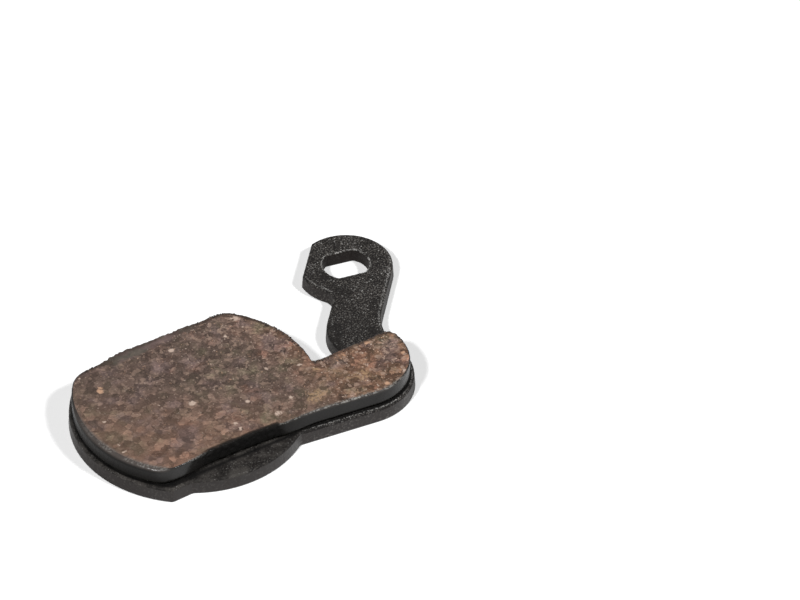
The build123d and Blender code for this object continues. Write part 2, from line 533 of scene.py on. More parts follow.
def compound_pattern(graph, place, grain):
    """The compound at a place: tones and hues of its grains, hairlines between them, pits and specks."""
    flake_scale, chip_scale, speck_scale = 1.1 / grain, 2.4 / grain, 4.6 / grain
    bent = graph.vector("ADD", place, graph.scaled(graph.sway(place, 1.4 / grain, 2), 0.7 * grain))
    coarse_tone, coarse_hue, choice = graph.soft_cells(bent, flake_scale)
    fine_tone, fine_hue, kind = graph.parts(graph.cells(bent, chip_scale, output="Color"))
    tiny_tone, chance, level = graph.parts(graph.cells(bent, speck_scale, output="Color"))
    border = graph.cells(bent, flake_scale, "DISTANCE_TO_EDGE")
    dot = graph.cells(bent, speck_scale).between(0.55, 0.15)
    return SimpleNamespace(
        coarse=coarse_tone - 0.5,
        fine=fine_tone - 0.5,
        tiny=tiny_tone - 0.5,
        grit=graph.noise(place, 4 / MM, 2) - 0.5,
        mottle=graph.noise(place, 0.8 / grain, 3, 0.55) - 0.5,
        hue=(coarse_hue - 0.5) * 0.85 + (fine_hue - 0.5) * 0.15,
        kind=kind,
        hairline=border.between(0.08, 0.01) * choice.between(0.4, 0.65),
        pale=kind.between(0.8, 0.95),
        pit=graph.noise(place, 1.6 / grain, 3, 0.6).between(0.74, 0.82),
        speck=dot * chance.between(0.78, 0.92) * (level * 0.7 + 0.3),
    )


def geometry_tree(name, sizes):
    """A new Geometry Nodes tree with a geometry input and output and these named size inputs."""
    tree = bpy.data.node_groups.new(name, "GeometryNodeTree")
    tree.interface.new_socket("Geometry", in_out="INPUT", socket_type="NodeSocketGeometry")
    tree.interface.new_socket("Geometry", in_out="OUTPUT", socket_type="NodeSocketGeometry")
    for size in sizes:
        tree.interface.new_socket(size, in_out="INPUT", socket_type="NodeSocketFloat")
    graph = Graph(tree)
    return graph, graph.node("NodeGroupInput")


def end_tree(graph, shape, materials):
    """Ends a tree: realized instances and, for each finish, its material."""
    shape = graph.node("GeometryNodeRealizeInstances", None, {"Geometry": shape})
    finish = mark(graph, "finish", "INT")
    for number, material in enumerate(materials):
        settings = {"data_type": "INT", "operation": "EQUAL"}
        inputs = {COMPARE_FIRST: finish, COMPARE_SECOND: number}
        chosen = graph.node("FunctionNodeCompare", settings, inputs)
        inputs = {"Geometry": shape, "Selection": chosen, "Material": material}
        shape = graph.node("GeometryNodeSetMaterial", None, inputs)
    graph.node("NodeGroupOutput", None, {"Geometry": shape})
    return graph.tree


def grown(name, mesh, tree, sizes):
    """A new object with the plain mesh that a Geometry Nodes tree makes of this mesh."""
    piece = bpy.data.objects.new(name, mesh)
    bpy.context.scene.collection.objects.link(piece)
    modifier = piece.modifiers.new(tree.name, "NODES")
    modifier.node_group = tree
    for item in tree.interface.items_tree:
        if item.in_out == "INPUT" and item.name in sizes:
            modifier[item.identifier] = sizes[item.name]
    depsgraph = bpy.context.evaluated_depsgraph_get()
    plain = bpy.data.meshes.new_from_object(
        piece.evaluated_get(depsgraph), preserve_all_data_layers=True, depsgraph=depsgraph
    )
    piece.modifiers.remove(modifier)
    piece.data = plain
    plain.name = name
    return piece


def mark(graph, name, kind="FLOAT"):
    """A named attribute, in a Geometry Nodes tree."""
    return graph.node("GeometryNodeInputNamedAttribute", {"data_type": kind}, {"Name": name})


def moved(graph, shape, offset):
    """The shape with its points moved by an offset."""
    return graph.node("GeometryNodeSetPosition", None, {"Geometry": shape, "Offset": offset})


def chance_vector(graph, low, high, seed):
    """A random vector for each point or instance."""
    inputs = {"Min": low, "Max": high, "Seed": seed}
    return graph.node("FunctionNodeRandomValue", {"data_type": "FLOAT_VECTOR"}, inputs)


def new_material(name):
    """A material with an empty node tree, and its graph."""
    material = bpy.data.materials.new(name)
    material.use_nodes = True
    material.node_tree.nodes.clear()
    return material, Graph(material.node_tree)


def finish_material(graph, inputs, height=None, depth=0.0):
    """Ends a material in one Principled shader, with a bump of this depth where a height is given."""
    if height is not None:
        inputs["Normal"] = graph.node("ShaderNodeBump", None, {"Height": height, "Distance": depth})
    shader = graph.node("ShaderNodeBsdfPrincipled", None, inputs)
    graph.node("ShaderNodeOutputMaterial", None, {"Surface": shader})


def object_place(graph):
    """Where a point of the surface is, in the object's own frame."""
    return graph.node("ShaderNodeTexCoord", output="Object")


def surface_mark(graph, name):
    """A named attribute of the points, in a material."""
    return graph.node("ShaderNodeAttribute", {"attribute_name": name}, output="Fac")


def worn_edges(graph, place, body, settings):
    """Colours the block's edges: pale scuffs on the near side, painted shade along the broken-off strip,
    dark loose grains, a smeared far side.
    """
    names = ("rim", "worn", "loose", "dull", "bitten", "burr")
    rim, worn, loose, dull, bitten, burr = (surface_mark(graph, name) for name in names)
    x, *_ = graph.parts(place)
    lobe = x.between(4 * MM, 10 * MM) * worn
    dashes = graph.noise(place, 0.55 / MM, 3, 0.6).between(0.36, 0.56)
    grit = graph.noise(place, 4.5 / MM, 2).between(0.4, 0.62)
    rounded = rim.between(0.35, 1.0) * dull.at_least(lobe * 0.5)
    body = graph.mixed(rounded * 0.55, body, settings.rounded)
    scuff = rim.between(0.75, 1.0) * lobe.at_least(worn * 0.5) * dashes * grit * bitten.between(1.0, 0.6)
    body = graph.mixed(scuff * 0.85, body, settings.scuff)
    # Painted shade along the edge over the broken-off strip, in the wall's colour
    bite_shade = rim.between(0.45, 0.9) * bitten.between(0.4, 0.9)
    body = graph.mixed(bite_shade * 0.9, body, settings.wall)
    frayed = rim.between(0.3, 0.9) * loose * (1 - worn) * (dashes * 0.4 + 0.5)
    body = graph.mixed(frayed, body, settings.dark)
    smear = burr * ((graph.noise(place, 0.8 / MM, 3) - 0.5) * 3 + 1)
    patch = graph.noise(place, 0.5 / MM, 2).between(0.42, 0.58)
    tint = graph.mixed(patch, settings.burr, settings.mauve)
    body = graph.mixed(smear.between(0.1, 0.9) * 0.8, body, tint)
    torn = burr.between(0.3, 0.8) * rim.between(0.6, 1.0) * dashes
    return graph.mixed(torn * 0.7, body, settings.dark)


def face_zones(graph, place):
    """Where the ground face differs: near side, right part and lobe, and how crisp and hued it is."""
    x, y, _ = graph.parts(place)
    right = x.between(7 * MM, 17 * MM)
    nearness = x * -0.56 - y * 0.83
    near_side = nearness.between(-2 * MM, 9 * MM).at_least(right)
    return SimpleNamespace(
        near_side=near_side,
        right=right,
        lobe=x.between(9 * MM, 16 * MM),
        crisp=(x * 42 + y * 36 + 1.0).at_least(0.45),
        hued=near_side * 0.25 + x.between(-2 * MM, 6 * MM) * 0.3 + 0.25,
    )


def ground_tones(graph, place, grains, zones, settings):
    """The ground compound: its base colour, patches of other hues, and flakes of many tones."""
    hue = graph.noise(place, 0.35 / MM, 2) - 0.5 + grains.hue * 0.15
    mauve = graph.noise(place, 0.3 / MM, 3).between(0.5, 0.68)
    body = graph.mixed(zones.near_side, settings.far, settings.near)
    body = graph.mixed(zones.lobe * 0.6, body, settings.warm)
    body = graph.mixed(hue.between(0.0, 0.3) * zones.hued * 0.85, body, settings.red)
    body = graph.mixed(hue.between(0.0, -0.3) * zones.hued * 1.3, body, settings.olive)
    body = graph.mixed(mauve * 0.65, body, settings.mauve)
    flakes = grains.coarse + grains.fine * 0.3 + grains.mottle * (zones.near_side * 0.65 + 0.65)
    flakes = flakes * (zones.right * 0.35 + 1) + (grains.tiny * 0.4 + grains.grit) * zones.crisp
    return graph.scaled(body, graph.math("EXPONENT", flakes * 0.88) * 0.95)


def ground_flecks(graph, place, grains, zones, body, settings):
    """Lays pale grains, hairlines, pits, ochre patches, specks and flecks over the ground compound."""
    body = graph.mixed(grains.pale * (zones.crisp * 0.35 + zones.lobe * 0.2), body, settings.pale)
    body = graph.mixed(grains.hairline * (zones.near_side * 0.25 + 0.2), body, settings.dark)
    body = graph.mixed(grains.pit * 0.75, body, settings.pit)
    dots = graph.noise(place, 3.2 / MM, 3, 0.6).between(0.46, 0.6)
    ochre = (surface_mark(graph, "ochre") + grains.coarse * 0.5).between(0.2, 0.9) * (dots * 0.7 + 0.15)
    body = graph.mixed(ochre * 0.85, body, settings.ochre)
    fleck = graph.mixed(grains.kind.between(0.25, 0.4), settings.copper, settings.stone)
    body = graph.mixed(grains.speck * (zones.crisp * 0.62 + zones.lobe * 0.6), body, fleck)
    for name, tint in (("copper", settings.copper), ("stone", settings.stone)):
        spot = surface_mark(graph, name) + grains.fine * 0.6 + grains.grit * 0.3
        body = graph.mixed(spot.between(0.4, 0.85) * 0.95, body, tint)
    return body


def ground_face_material(settings):
    """Ground friction face: flakes of many tones and hues, flecks, patches and worn edges."""
    material, graph = new_material("ground_friction_face")
    place = object_place(graph)
    grains = compound_pattern(graph, place, settings.grain)
    zones = face_zones(graph, place)
    body = ground_tones(graph, place, grains, zones, settings)
    body = ground_flecks(graph, place, grains, zones, body, settings)
    body = worn_edges(graph, place, body, settings)
    inputs = {"Base Color": body, "Roughness": 0.8 - grains.speck * 0.2, "Specular IOR Level": 0.2}
    finish_material(graph, inputs, grains.grit + grains.fine - grains.hairline, 0.015 * MM)
    return material


def wall_material(settings):
    """Moulded side of the block: smooth charcoal with faint clouds, matt stretches, worn edges and painted
    shade in the broken-off strip.
    """
    material, graph = new_material("moulded_friction_wall")
    place = object_place(graph)
    foot, top = (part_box(node)[1].z for node in (PLATE_NODE, BLOCK_NODE))
    cloud = graph.noise(place, 0.5 / MM, 3)
    speck = graph.noise(place, 5 / MM, 2)
    x, _, z = graph.parts(place)
    dull, matt, bitten = (surface_mark(graph, name) for name in ("dull", "matt", "bitten"))
    low = dull * z.between(top - 0.3 * MM, foot + 0.4 * MM)
    lobe = x.between(5 * MM, 12 * MM)
    gloss = (0.85 + cloud * 0.3 - lobe * 0.25) * (1 - low * 0.95) * (1 - matt * 0.7) * (1 - bitten * 0.9)
    body = graph.mixed((cloud - 0.35) * 0.8 + (speck - 0.5) * 0.4, settings.wall, settings.wall_cloud)
    # Painted shade in the recess of the broken-off strip
    body = graph.mixed(bitten * 0.6, body, settings.bite_shade)
    inputs = {
        "Base Color": worn_edges(graph, place, body, settings),
        "Roughness": 0.7 + (speck - 0.5) * 0.2,
        "Specular IOR Level": 0.1,
        "Coat Weight": gloss,
        "Coat IOR": 1.33,
        "Coat Roughness": 0.22,
    }
    finish_material(graph, inputs, speck, 0.004 * MM)
    return material


def key_material(settings):
    """Compound that shows in the plate's holes: rough dark grey with paler grains."""
    material, graph = new_material("key_compound")
    place = object_place(graph)
    grains = compound_pattern(graph, place, settings.grain * 0.6)
    tone = grains.coarse * 0.6 + grains.fine * 0.6 + 0.45
    body = graph.mixed(tone, settings.key, settings.key_grain)
    body = graph.mixed(grains.hairline.at_least(grains.pit), body, settings.key_pit)
    inputs = {"Base Color": body, "Roughness": 0.85, "Specular IOR Level": 0.2}
    finish_material(graph, inputs, grains.fine, 0.05 * MM)
    return material


def coat_material(settings):
    """Granular black coat of the friction side, with bright grains, partly painted glints, and a pale line
    on its edges, of pale grains and painted highlight.
    """
    material, graph = new_material("granular_coat")
    place = object_place(graph)
    scale = 1 / settings.coat_grain
    choice, level, _ = graph.parts(graph.cells(place, scale, output="Color"))
    near = graph.cells(place, scale).between(0.6, 0.15)
    cloud = graph.noise(place, 0.4 / MM, 3)
    grit = graph.noise(place, 0.9 * scale, 2, 0.6).between(0.5, 0.64)
    # Where painted shade lies beside the block's foot
    foot = surface_mark(graph, "foot")
    x, *_ = graph.parts(place)
    left, lobe, eye = x.between(9 * MM, 3 * MM), x.between(8 * MM, 20 * MM), x.between(23 * MM, 27 * MM)
    bare = lobe * 0.4 + eye * 0.9 + 0.45
    haze = left * graph.noise(place, 0.7 / MM, 3, 0.6).between(0.35, 0.7)
    body = graph.mixed(grit * (cloud.between(0.3, 0.6) * 0.8 + 0.2) * bare, settings.coat, settings.grit)
    body = graph.mixed(haze * 0.4, body, settings.grit)
    # Painted glints: bright colour on some grains stands for the glossy coat's highlights, with none
    # beside the block's foot
    glint = (choice + (cloud - 0.5) * 0.6).between(0.75, 0.95) * near * (1 - foot)
    body = graph.mixed(glint * (level * 0.5 + 0.15) * bare, body, settings.sparkle)
    # Pale line along the edges: pale grains and painted highlight
    dashes = graph.noise(place, 1.1 / MM, 3).between(0.34, 0.5)
    edge = surface_mark(graph, "rim").between(0.3, 1.0) * dashes * grit.at_least(near)
    body = graph.mixed(edge * 0.9, body, settings.sparkle)
    # Painted shade beside the block's foot
    body = graph.mixed(foot * 0.9, body, settings.foot)
    inputs = {"Base Color": body, "Roughness": 0.6 - glint * 0.2, "Specular IOR Level": 0.1}
    finish_material(graph, inputs, near, 0.015 * MM)
    return material


def side_material(settings):
    """Sheared side of the plate under a thin coat, with faint upright marks, a darker slot wall and
    painted shade on the arm's outer side.
    """
    material, graph = new_material("sheared_side")
    place = object_place(graph)
    upright = graph.vector("MULTIPLY", place, (1, 1, 0.12))
    streak = graph.noise(upright, 2.2 / MM, 3)
    cloud = graph.noise(place, 0.5 / MM, 2)
    bore, dull = surface_mark(graph, "bore"), surface_mark(graph, "dull")
    x, *_ = graph.parts(place)
    right = x.between(2 * MM, 12 * MM)
    body = graph.mixed((streak - 0.5) * 0.8 + cloud * 0.5, settings.side, settings.side_cloud)
    grit = graph.noise(place, 3.5 / MM, 3, 0.6).between(0.5, 0.72) * (cloud.between(0.3, 0.6) * 0.6 + 0.2)
    body = graph.mixed(grit * (right * 0.6 + 0.4), body, settings.grit)
    # Darker slot wall, and painted shade on the arm's outer side
    body = graph.mixed(bore * 0.6, body, settings.bore)
    inputs = {
        "Base Color": body,
        "Roughness": 0.6 + (streak - 0.5) * 0.3,
        "Specular IOR Level": 0.1,
        "Coat Weight": (0.78 + (streak - 0.5) * 0.8) * (1 - bore * 0.9) * (1 - dull * 0.7),
        "Coat IOR": 1.34,
        "Coat Roughness": 0.34,
    }
    finish_material(graph, inputs, streak, 0.006 * MM)
    return material


def paint_material(settings):
    """Smooth black paint of the back, with dust specks and fine scratches."""
    material, graph = new_material("back_paint")
    place = object_place(graph)
    peel = graph.noise(place, 1.2 / MM, 2)
    dust_scale = 1.6 / MM
    chance, level, _ = graph.parts(graph.cells(place, dust_scale, output="Color"))
    speck = graph.cells(place, dust_scale).between(0.16, 0.06) * chance.between(0.86, 0.9)
    along = graph.vector("MULTIPLY", place, (0.08, 1, 1))
    scratch = graph.noise(along, 3.2 / MM, 2).between(0.74, 0.78)
    dusty = (speck * (level * 0.7 + 0.3)).at_least(scratch * 0.35)
    body = graph.mixed(dusty, settings.paint, settings.dust)
    rough = 0.28 + dusty * 0.4 + (peel - 0.5) * 0.1
    inputs = {"Base Color": body, "Roughness": rough, "Specular IOR Level": 0.3}
    finish_material(graph, inputs, peel, 0.01 * MM)
    return material


def crumb_material(settings):
    """Crumbs of the compound: rough and dark, some of them paler."""
    material, graph = new_material("crumb_compound")
    place = object_place(graph)
    tone = graph.noise(place, 2.5 / MM, 2).between(0.45, 0.7)
    body = graph.mixed(tone, settings.tint, settings.pale)
    inputs = {"Base Color": body, "Roughness": 0.85, "Specular IOR Level": 0.2}
    finish_material(graph, inputs, tone, 0.02 * MM)
    return material


def dress(piece, node=None):
    """Lets a piece ride on the pad, and hides the node that it stands for."""
    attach(piece, BODY)
    if node:
        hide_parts(node)


def plate_edge_light(outline, settings):
    """Marks round the plate's outline: dull sides, the arm's outer side with painted shade, and edges with
    a pale line of pale grains and painted highlight.
    """
    x, y = outline.T
    bay = smooth(x, 13 * MM, 14 * MM) * smooth(x, 23 * MM, 21 * MM)
    bay *= smooth(y, -5 * MM, -3 * MM) * smooth(y, 8 * MM, 5 * MM)
    lobe = smooth(x, 3 * MM, 11 * MM)
    eye = smooth(x, 20 * MM, 23 * MM)
    # The arm's outer side, where its side gets painted shade and its edge painted highlight
    outer = eye * facing(outline, settings.outer_heading, settings.outer_spread)
    # Where the painted highlight along the edges lies
    highlit = np.maximum(outer, eye * facing(outline, settings.eye_heading, settings.bright_spread))
    highlit = np.maximum(highlit, facing(outline, settings.bright_heading, settings.bright_spread))
    return SimpleNamespace(
        dull=np.maximum(facing(outline, settings.dull_heading, settings.dull_spread), bay),
        outer=outer,
        bright=lobe * (0.2 + 0.8 * highlit),
    )


def back_profile(edge, settings):
    """Heights and insets over a bevelled edge of the plate's back, from the flat to the upright side."""
    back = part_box(PLATE_NODE)[0].z
    return [(back, edge + settings.facet), (back, edge), (back + edge, 0)]


def add_side(shell, outline, edge_marks, settings):
    """Adds the plate's sheared side with its edges, and gives its rings on the back and on the coat."""
    low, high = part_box(PLATE_NODE)
    rolled, draft = settings.rolled_edge, settings.draft
    base, crest = low.z + settings.back_edge, high.z - rolled

    def finish_at(height):
        if height < base:
            return PAINT
        return SIDE if height < crest else COAT

    def marks_at(height, inset):
        # Pale line along the rolled edge: pale grains and painted highlight
        rim = 0.8 * bell(high.z - height, 0.5 * rolled) * bell(inset - draft - rolled, 0.6 * rolled)
        # Painted shade on the arm's outer side, through the slot wall's dark colour
        return {"rim": rim * edge_marks.bright, "dull": edge_marks.dull, "bore": 0.8 * edge_marks.outer}

    profile = back_profile(settings.back_edge, settings)
    lean = np.linspace(0, 1, settings.rows)[1:-1]
    profile += [(base + (crest - base) * part, draft * part) for part in lean]
    profile += [(crest + up, draft + inset) for up, inset in quarter(rolled, settings.rows // 2)]
    return shell.tube(outline, profile, finish_at, marks_at)


def add_slot(shell, slot, settings):
    """Adds the slot's wall with its bevelled rims, and gives its rings on the back and on the coat."""
    low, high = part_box(PLATE_NODE)
    bevel = settings.slot_edge
    base, crest = low.z + bevel, high.z - bevel

    def finish_at(height):
        return COAT if height > crest else SIDE

    def marks_at(height, inset):
        return {"rim": bell(high.z - height, 0.5 * settings.rolled_edge), "bore": 1.0}

    profile = back_profile(bevel, settings)[:-1]
    profile += [(height, 0) for height in np.linspace(base, crest, settings.rows)]
    profile += [(high.z, bevel)]
    return shell.tube(spaced(slot, settings.facet)[::-1], profile, finish_at, marks_at)


def add_hole(shell, hole, settings):
    """Adds the wall of a key's hole, and gives its rings on the back and on the coat."""
    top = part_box(PLATE_NODE)[1].z
    profile = back_profile(settings.back_edge / 2, settings) + [(top / 2, 0), (top, 0)]
    return shell.tube(spaced(hole, 2 * settings.facet)[::-1], profile, lambda height: PAINT)


def shown_points(edge, slot_rim, holes, covered, settings):
    """Points of the coated face, where it shows and a little way in under the block."""
    inner = sprinkled(edge, settings.facet, seed=1)
    shows = ~within(inner, slot_rim) & (nearest(inner, slot_rim)[0] > CLEARANCE * settings.facet)
    shows &= ~within(inner, covered) | (nearest(inner, covered)[0] < settings.tucked)
    for hole in holes:
        shows &= ~within(inner, hole)
    return inner[shows]


def plate_shell(settings):
    """The plate's mesh: outline and slot with their edges, key holes, and fine facets where it shows."""
    top, block_top = (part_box(node)[1].z for node in (PLATE_NODE, BLOCK_NODE))
    rolled = settings.rolled_edge
    outline, slot, *holes = section(PLATE_NODE, top / 2)
    outline = spaced(outline, settings.facet)
    covered = spaced(section(BLOCK_NODE, (top + block_top) / 2)[0], settings.facet)
    edge_marks = plate_edge_light(outline, settings)
    shell = Shell()
    rings = [add_side(shell, outline, edge_marks, settings), add_slot(shell, slot, settings)]
    rings += [add_hole(shell, hole, settings) for hole in holes]
    backs, faces = zip(*rings)

    edge, slot_rim = shell.plan(faces[0]), shell.plan(faces[1])
    inner = shown_points(edge, slot_rim, holes, covered, settings)
    to_edge, beside = nearest(inner, edge)
    # Pale line along the coat's edge and round the slot: pale grains and painted highlight
    rim = 0.8 * bell(to_edge, 0.8 * rolled) * edge_marks.bright[beside]
    rim = np.maximum(rim, bell(nearest(inner, slot_rim)[0], 0.5 * rolled))
    # Painted shade on the coat beside the block's foot, wider towards the round end
    round_end = smooth(inner[:, 0], -2 * MM, -9 * MM)
    shade = settings.foot_shade * (1 + 2 * round_end)
    marks = {"rim": rim, "foot": bell(nearest(inner, covered)[0], shade)}
    shell.cap(faces, shell.add(inner, top, **marks), COAT, up=True)
    shell.cap(backs, [], PAINT, up=False)
    return shell


def coat_tree(materials):
    """Geometry Nodes that raise the coat's grains where the plate faces up."""
    graph, sizes = geometry_tree("Coat Grains", ["Grain", "Relief"])
    place = graph.node("GeometryNodeInputPosition")
    normal = graph.node("GeometryNodeInputNormal")
    scale = 1 / sizes.out("Grain")
    _, _, up = graph.parts(normal)
    bump = graph.cells(place, scale).between(0.7, 0.1)
    height, _, _ = graph.parts(graph.cells(place, scale, output="Color"))
    wave = graph.noise(place, 0.3 * scale, 2)
    raised = bump * (height * 0.8 + 0.2) + wave - 0.6
    offset = graph.scaled(normal, raised * sizes.out("Relief") * up.at_least(0.0))
    return end_tree(graph, moved(graph, sizes, offset), materials)


def block_wear(outline, low, high, settings):
    """Wear round the block's outline: marks, burr, and the depths of bite, groove and rounding."""
    x, y = outline.T
    start, end = settings.bite_start, settings.bite_end
    near_edge, far_edge = smooth(y, 0, low.y / 2), smooth(y / high.y, 0.4, 0.6)
    between_ends = smooth(np.abs(x) / high.y, 0.75, 0.5)
    lobe = smooth(x, 4 * MM, 12 * MM)
    before_heel = smooth(x, 21 * MM, 18 * MM)
    bite_run = smooth(x, start, start + 5 * MM) * smooth(x, end + 0.5 * MM, end - 0.7 * MM)
    bite_taper = smooth(x, end - 4 * MM, end)
    beside_bite = bell(x - end, 4.5 * MM)
    bitten = bite_run * near_edge
    loose = facing(outline, settings.loose_heading, settings.loose_spread)
    dull = facing(outline, settings.dull_heading, settings.dull_spread)
    matt = facing(outline, settings.matt_heading, settings.matt_spread)
    marks = {
        "loose": loose,
        "worn": facing(outline, settings.worn_heading, settings.worn_spread),
        "dull": dull,
        "swell": loose * before_heel,
        "bitten": bitten,
        "matt": np.maximum(matt, beside_bite * near_edge),
    }
    burr = facing(outline, settings.burr_heading, settings.burr_spread) * far_edge * between_ends
    return SimpleNamespace(
        marks=marks,
        burr=burr * (0.6 + 0.6 * bell(x - settings.burr_middle, settings.burr_stretch)),
        bite=settings.bite * bitten * (1 - 0.35 * bite_taper),
        groove=settings.foot_groove * (1 - 0.4 * lobe),
        rounding=settings.arris + settings.worn_arris * dull,
    )


def add_keys(shell, low, foot, settings):
    """Adds the keys in the plate's holes, each with a gap round its end, and gives their root rings."""
    facet, gap = settings.facet, settings.key_gap
    roots = []
    for key in section(BLOCK_NODE, foot / 2):
        profile = [(low.z, 1.5 * facet), (low.z + 0.5 * gap, 0.5 * facet), (low.z + gap, 0), (foot, 0)]
        end_ring, root_ring = shell.tube(spaced(key, facet), profile, lambda height: KEY)
        roots.append(root_ring)
        inner = sprinkled(shell.plan(end_ring), 1.3 * facet, seed=3)
        shell.cap([end_ring], shell.add(inner, low.z), KEY, up=False)
    return roots


def block_shell(settings):
    """The block's mesh: grooved foot, upright walls, rounded arris, ground face and key ends."""
    low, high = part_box(BLOCK_NODE)
    foot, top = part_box(PLATE_NODE)[1].z, high.z
    arris, facet, groove = settings.arris, settings.facet, settings.foot_groove
    outline = spaced(section(BLOCK_NODE, (foot + top) / 2)[0], facet)
    edge_marks = block_wear(outline, low, high, settings)
    shell = Shell()

    def inset_at(height):
        part = np.clip((height - top + edge_marks.rounding) / edge_marks.rounding, 0, 1)
        return edge_marks.bite + edge_marks.rounding * (1 - np.sqrt(1 - part * part))

    def rim_marks(height, inset):
        down = top - height
        burr = edge_marks.burr * bell(down, settings.burr_width)
        return {"rim": bell(down, 3 * arris), "burr": burr, **edge_marks.marks}

    hollow = ((0, 1), (0.45, 0.9), (0.75, 0.5))
    profile = [(foot + groove * up, edge_marks.bite + edge_marks.groove * into) for up, into in hollow]
    rows = round((top - arris - foot - groove) / (1.2 * facet))
    heights = list(np.linspace(foot + groove, top - arris, rows)[:-1])
    heights += [top - arris + up for up, _ in quarter(arris, 3)]
    profile += [(height, inset_at(height)) for height in heights]
    foot_ring, face_ring = shell.tube(outline, profile, lambda height: WALL, rim_marks)

    edge = shell.plan(face_ring)
    inner = sprinkled(edge, facet, seed=2)
    gap, near = nearest(inner, edge)
    rim = bell(gap, 3 * arris)
    marks = {"rim": rim, "burr": edge_marks.burr[near] * bell(gap, settings.burr_width)}
    marks.update({name: values[near] for name, values in edge_marks.marks.items()})
    for name, flecks in (("copper", COPPER_FLECKS), ("stone", STONE_FLECKS), ("ochre", OCHRE_PATCHES)):
        spots = [bell(np.linalg.norm(inner / MM - (x, y), axis=1), radius) for x, y, radius in flecks]
        marks[name] = np.max(spots, axis=0)
    inner_numbers = shell.add(inner, top, outward(edge)[near] * rim[:, None], **marks)
    shell.cap([face_ring], inner_numbers, GROUND, up=True)
    shell.cap([foot_ring, *add_keys(shell, low, foot, settings)], [], WALL, up=False)
    return shell


def compound_tree(materials, foot):
    """Geometry Nodes that shape the compound: grains and pits on faces, a burr and chips on edges."""
    graph, sizes = geometry_tree("Compound Relief", ["Grain", "Relief", "Burr Reach", "Chip"])
    place = graph.node("GeometryNodeInputPosition")
    normal = graph.node("GeometryNodeInputNormal")
    grains = compound_pattern(graph, place, sizes.out("Grain"))
    chip = sizes.out("Chip")
    names = ("rim", "burr", "loose", "swell", "bitten")
    rim, burr, loose, swell, bitten = (mark(graph, name) for name in names)
    _, _, height = graph.parts(place)
    _, _, up = graph.parts(normal)
    level = graph.math("ABSOLUTE", up).between(0.3, 0.9) * 0.8 + 0.2
    free = height.between(foot, foot + 0.3 * MM).at_least(height.between(foot * 0.5, 0.0))
    bumps = grains.coarse * 0.8 + grains.fine * 0.6 + grains.mottle + grains.grit * 0.8
    bumps = bumps - grains.hairline * 0.5 - grains.pit * 1.5
    rise = graph.scaled(normal, bumps * sizes.out("Relief") * level * free)
    slow, quick = graph.noise(place, 0.4 / MM, 2), graph.noise(place, 1.8 / MM, 4, 0.65)
    reach = burr * (slow * 0.5 + quick * 1.4 + 0.05) * sizes.out("Burr Reach")
    reach = reach + ((quick - 0.5) * (loose * 1.4 + 0.5) + swell * 0.6) * chip
    reach = reach * rim + bitten * (quick * 2 + slow - 1.5) * chip
    out = graph.scaled(mark(graph, "side", "FLOAT_VECTOR"), reach * free)
    return end_tree(graph, moved(graph, sizes, graph.vector("ADD", rise, out)), materials)


def crumb_tree(material, seed):
    """Geometry Nodes that scatter crumbs over the block's loose edges."""
    graph, sizes = geometry_tree("Edge Crumbs", ["Crumb", "Density"])
    place = graph.node("GeometryNodeInputPosition")
    crumb = sizes.out("Crumb")
    clumps = graph.noise(place, 0.5 / MM, 2).between(0.4, 0.6)
    loose = mark(graph, "rim").between(0.5, 1.0) * mark(graph, "loose").between(0.3, 0.8) * clumps
    density = loose * mark(graph, "burr").between(0.4, 0.1) * sizes.out("Density") / MM / MM
    inputs = {"Mesh": sizes, "Density": density, "Seed": seed}
    spots = graph.node("GeometryNodeDistributePointsOnFaces", None, inputs)
    lump = graph.node("GeometryNodeMeshIcoSphere", None, {"Radius": 1.0, "Subdivisions": 2})
    turn = chance_vector(graph, (0, 0, 0), (math.tau, math.tau, math.tau), seed + 1)
    stretch = chance_vector(graph, (0.5, 0.4, 0.3), (1.4, 1.0, 0.7), seed + 2)
    scale = graph.scaled(stretch, crumb)
    inputs = {"Points": spots, "Instance": lump, "Rotation": turn, "Scale": scale}
    crumbs = graph.node("GeometryNodeInstanceOnPoints", None, inputs)
    crumbs = graph.node("GeometryNodeRealizeInstances", None, {"Geometry": crumbs})
    crumbs = moved(graph, crumbs, graph.scaled(graph.sway(place, 6 / MM, 1), crumb * 1.2))
    crumbs = graph.node("GeometryNodeSetMaterial", None, {"Geometry": crumbs, "Material": material})
    graph.node("NodeGroupOutput", None, {"Geometry": crumbs})
    return graph.tree


def seen_rays(graph):
    """1 for rays from the camera, and for reflections and refractions; 0 for other rays."""
    rays = graph.node("ShaderNodeLightPath", output="Is Camera Ray")
    return rays.at_least(rays.out("Is Glossy Ray")).at_least(rays.out("Is Transmission Ray"))


def from_view(settings, right, away, up):
    """A vector in the pad's frame from its parts to the right of the view, away from it and up."""
    return Matrix.Rotation(settings.heading - math.pi / 2, 3, "Z") @ Vector((right, away, up))


def add_floor(settings, reach=2.0, gap=0.02 * MM):
    """White paper just under the pad, lifted to white where it is seen, with the pad's shadow kept."""
    mesh = bpy.data.meshes.new("floor")
    corners = [(-reach, -reach, -gap), (reach, -reach, -gap), (reach, reach, -gap), (-reach, reach, -gap)]
    mesh.from_pydata(corners, [], [(0, 1, 2, 3)])
    material, graph = new_material("floor_paper")
    seen = seen_rays(graph)
    inputs = {
        "Base Color": graph.mixed(seen, settings.paper, settings.seen_paper),
        "Roughness": 1.0,
        "Specular IOR Level": 0.0,
        "Emission Color": graph.mixed(seen, (0, 0, 0), (1, 1, 1)),
        "Emission Strength": settings.lift,
    }
    finish_material(graph, inputs)
    mesh.materials.append(material)
    floor = bpy.data.objects.new("floor", mesh)
    bpy.context.scene.collection.objects.link(floor)


